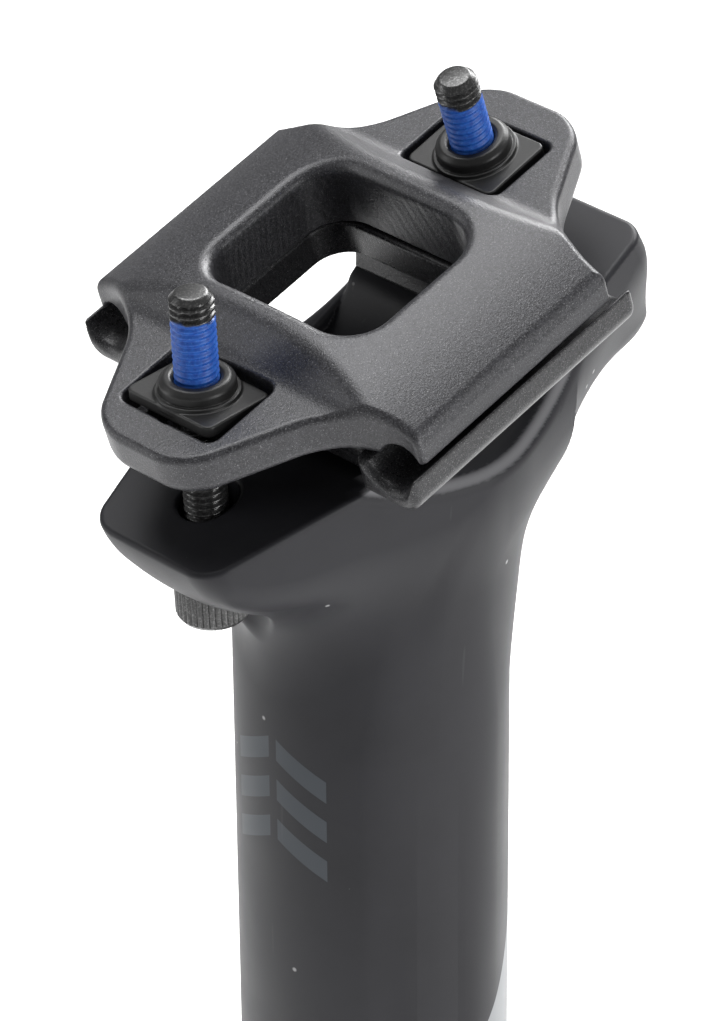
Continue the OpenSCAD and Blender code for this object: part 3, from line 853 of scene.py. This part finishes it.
def sleeve_finish():
    """Matte black anodise with dust, hairline marks, two plain printed shapes and a painted highlight on the
    seat's chamfer.
    """
    n = Nodes("sleeve_anodise")
    cloud = n.noise(12, 4)
    fine = n.noise(0.12, 2, 0.6)
    place = n.split()
    base = n.mix(n.remap(cloud, 0.3, 0.7, 0, 1), (0.017, 0.017, 0.020), (0.024, 0.024, 0.028))
    base = n.mix(chevrons(n, *place), base, (0.055, 0.063, 0.073))
    base = n.mix(diagonal_band(n, *place), base, (0.32, 0.33, 0.34))
    # painted highlight: the seat's chamfer on the flanks lightened to pale grey
    base = n.mix(n.attribute("chamfer_highlight"), base, grey(0.3, 0.04))
    dust = n.math("MAXIMUM", n.specks(3.2, 0.22), n.specks(7.0, 0.5))
    base = n.mix(n.math("MULTIPLY", dust, 0.75), base, grey(0.45))
    hair = n.remap(n.noise(0.9, 1, 0.4, (1, 1, 0.06)), 0.76, 0.8, 0, 0.05)
    base = n.mix(hair, base, grey(0.2))
    n.set(Base_Color=base, Metallic=0.0, Roughness=n.remap(cloud, 0.3, 0.7, 0.42, 0.5),
          Normal=n.bump(n.math("ADD", fine, n.math("MULTIPLY", dust, 2.0)), 0.006))
    n.shader.inputs["Specular IOR Level"].default_value = 0.22
    return n


def tube_finish():
    """Satin black anodise with engraved height marks on the insertion tube's rear."""
    n = surface("tube_anodise", grey(0.022, 0.08), 0.4, 0.1, 0.15, 0.004, 0.15, 10, (1, 1, 0.1))
    x, y, z = n.split()
    angle = n.math("ARCTAN2", y, n.math("SUBTRACT", 0.0, x))
    arc = n.math("ABSOLUTE", n.math("MULTIPLY", angle, INSERT_R))
    fine, coarse = [n.remap(n.math("PINGPONG", z, step / 2), 0.12, 0.16, 1, 0) for step in (5, 20)]
    short = n.math("MULTIPLY", fine, n.remap(arc, 1.6, 1.65, 1, 0))
    long = n.math("MULTIPLY", coarse, n.remap(arc, 3.6, 3.65, 1, 0))
    first, last = 59, INSERT_LEN - 8
    inside = n.math("MULTIPLY", n.remap(z, first, first + 0.1, 0, 1), n.remap(z, last, last + 0.1, 1, 0))
    ticks = n.math("MULTIPLY", n.math("MAXIMUM", short, long), inside)
    limit = n.remap(n.math("ABSOLUTE", n.math("SUBTRACT", z, LIMIT_Z)), 0.3, 0.34, 1, 0)
    marks = n.math("MAXIMUM", ticks, limit)
    painted = n.shader.inputs["Base Color"].links[0].from_socket
    n.set(Base_Color=n.mix(marks, painted, grey(0.3)))
    return n


def bolt_finish():
    """Black oxide steel with a blue thread-locking patch."""
    n = Nodes("bolt_black_oxide")
    fine = n.noise(0.25, 3, 0.6)
    worn = n.remap(fine, 0.5, 0.75, 0, 1)
    steel = n.mix(worn, grey(0.07), grey(0.2))
    blue = n.mix(n.remap(n.noise(0.5, 3), 0.35, 0.65, 0, 1), (0.008, 0.065, 0.36), (0.018, 0.12, 0.50))
    crumb = n.remap(n.noise(0.22, 2), 0.62, 0.7, 0, 0.5)
    blue = n.mix(crumb, blue, (0.10, 0.26, 0.60))
    patch = n.attribute("patch")
    n.set(Base_Color=n.mix(patch, steel, blue),
          Metallic=n.math("SUBTRACT", 0.8, n.math("MULTIPLY", patch, 0.8)),
          Roughness=n.remap(patch, 0, 1, 0.3, 0.45), Normal=n.bump(fine, 0.02))
    return n


# ---------- floor and light ----------

def make_floor():
    size = 6.0
    mesh = bpy.data.meshes.new("floor")
    corners = [(-size, -size, 0), (size, -size, 0), (size, size, 0), (-size, size, 0)]
    mesh.from_pydata(corners, [], [(0, 1, 2, 3)])
    floor = bpy.data.objects.new("floor", mesh)
    bpy.context.scene.collection.objects.link(floor)
    floor.location.z = -0.5 * MM
    pale = surface("pale_floor", grey(0.9), 0.85, 0.0, 2.0, 0.01, 0.02, 400)
    pale.shader.inputs["Emission Color"].default_value = (1, 1, 1, 1)
    pale.shader.inputs["Emission Strength"].default_value = 0.3
    mesh.materials.append(pale.material)


def area_light(name, place, target, size, power):
    data = bpy.data.lights.new(name, "AREA")
    data.shape = "RECTANGLE"
    data.size, data.size_y = size
    data.energy = power
    lamp = bpy.data.objects.new(name, data)
    bpy.context.scene.collection.objects.link(lamp)
    lamp.location = place
    lamp.rotation_euler = (Vector(target) - Vector(place)).to_track_quat("-Z", "Y").to_euler()


def make_lights():
    world = bpy.data.worlds.new("studio")
    bpy.context.scene.world = world
    world.use_nodes = True
    background = world.node_tree.nodes["Background"]
    background.inputs["Color"].default_value = (1, 1, 1, 1)
    background.inputs["Strength"].default_value = 0.22
    centre = (0, 0, 0.33)
    area_light("left", (0.75, -0.85, 0.5), centre, (0.4, 0.9), 3)
    area_light("right", (-0.15, 1.1, 0.45), centre, (0.4, 0.9), 7)
    area_light("top", (-0.1, -0.3, 1.35), centre, (0.8, 0.8), 12)
    area_light("rear", (-0.9, -0.3, 0.9), centre, (0.7, 0.5), 15)
    bpy.context.scene.view_settings.view_transform = "Standard"


# ---------- assembly ----------

def place_piece(piece, body, slot, finish, *nodes):
    piece.data.materials.clear()
    piece.data.materials.append(finish.material)
    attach(piece, body)
    if nodes:
        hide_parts(*nodes)


def repaint(node, finish):
    mesh = frame["nodes"][node].data
    mesh.materials.clear()
    mesh.materials.append(finish.material)


make_camera()
make_floor()
make_lights()

sleeve_material = sleeve_finish()
bolt_material = bolt_finish()
clamp_material = blasted("blasted_clamp", grey(0.042, 0.12), 0.36)
cradle_material = blasted("satin_cradle", grey(0.02, 0.12), 0.32)
nut_material = surface("nut_black_oxide", grey(0.02), 0.38, 0.3, 0.3, 0.01)
tube_material = tube_finish()
steel_material = surface("plain_steel", grey(0.5), 0.32, 1.0, 0.4, 0.008, 0.12)
turned_material = surface("turned_aluminium", grey(0.55, 0.03), 0.36, 1.0, 0.3, 0.006, 0.1, 8, (0.2, 0.2, 4))
bronze_material = surface("bronze", (0.55, 0.36, 0.16), 0.4, 1.0, 0.3, 0.006, 0.15)
rubber_material = surface("black_rubber", grey(0.02), 0.75, 0.0, 0.4, 0.02, 0.25)
plastic_material = surface("black_plastic", grey(0.03), 0.5, 0.0, 0.35, 0.01, 0.15)
ivory_material = surface("ivory_plastic", (0.72, 0.69, 0.58), 0.5, 0.0, 0.4, 0.008, 0.06)
liner_material = surface("liner_plastic", (0.3, 0.28, 0.24), 0.55, 0.0, 0.3, 0.01, 0.12)

place_piece(make_head(), "upper", "head_anodised", sleeve_material, "post_head")
place_piece(field_mesh("top_clamp_plate", top_clamp_field, CLAMP, (-33, -26, -2), (34, 26, 9), 0.26),
            "saddle_clamp", "blasted_aluminium", clamp_material, "top_clamp")
place_piece(field_mesh("rail_cradle", cradle_field, CLAMP, (-19, -27, -16), (19, 27, 0), 0.22),
            "saddle_clamp", "satin_aluminium", cradle_material, "lower_cradle")
for label, bolt, seed in (("front", FRONT, 3), ("rear", REAR, 8)):
    place_piece(field_mesh(label + "_clamp_nut", nut_field, bolt, (-5, -7, -4), (5, 7, 3.2), 0.12),
                label + "_nut", "black_steel", nut_material, label + "_nut")
    place_piece(make_bolt(label + "_clamp_bolt", bolt, seed), label + "_bolt", "black_steel", bolt_material,
                label + "_bolt")
    place_piece(make_washer(label + "_ball_washer", bolt), label + "_washer", "plain_steel", steel_material,
                label + "_washer")
place_piece(make_insertion_tube(), "lower_tube", "tube_anodised", tube_material, "lower_tube")
place_piece(make_collar(), "upper", "tube_anodised", tube_material, "collar")
place_springs(steel_material)

for finish, nodes in ((bronze_material, ("guide_plug", "guide_keys")),
                      (ivory_material, ("slide_ring",)),
                      (liner_material, ("sleeve_bush",)),
                      (steel_material, ("stop_ring",)),
                      (plastic_material, ("spring_seat", "spring_cap")),
                      (turned_material, ("preload_plug", "push_rod")),
                      (rubber_material, ("plug_o_ring", "topout_bumper", "bottom_bumper", "wiper_seal"))):
    for node in nodes:
        repaint(node, finish)
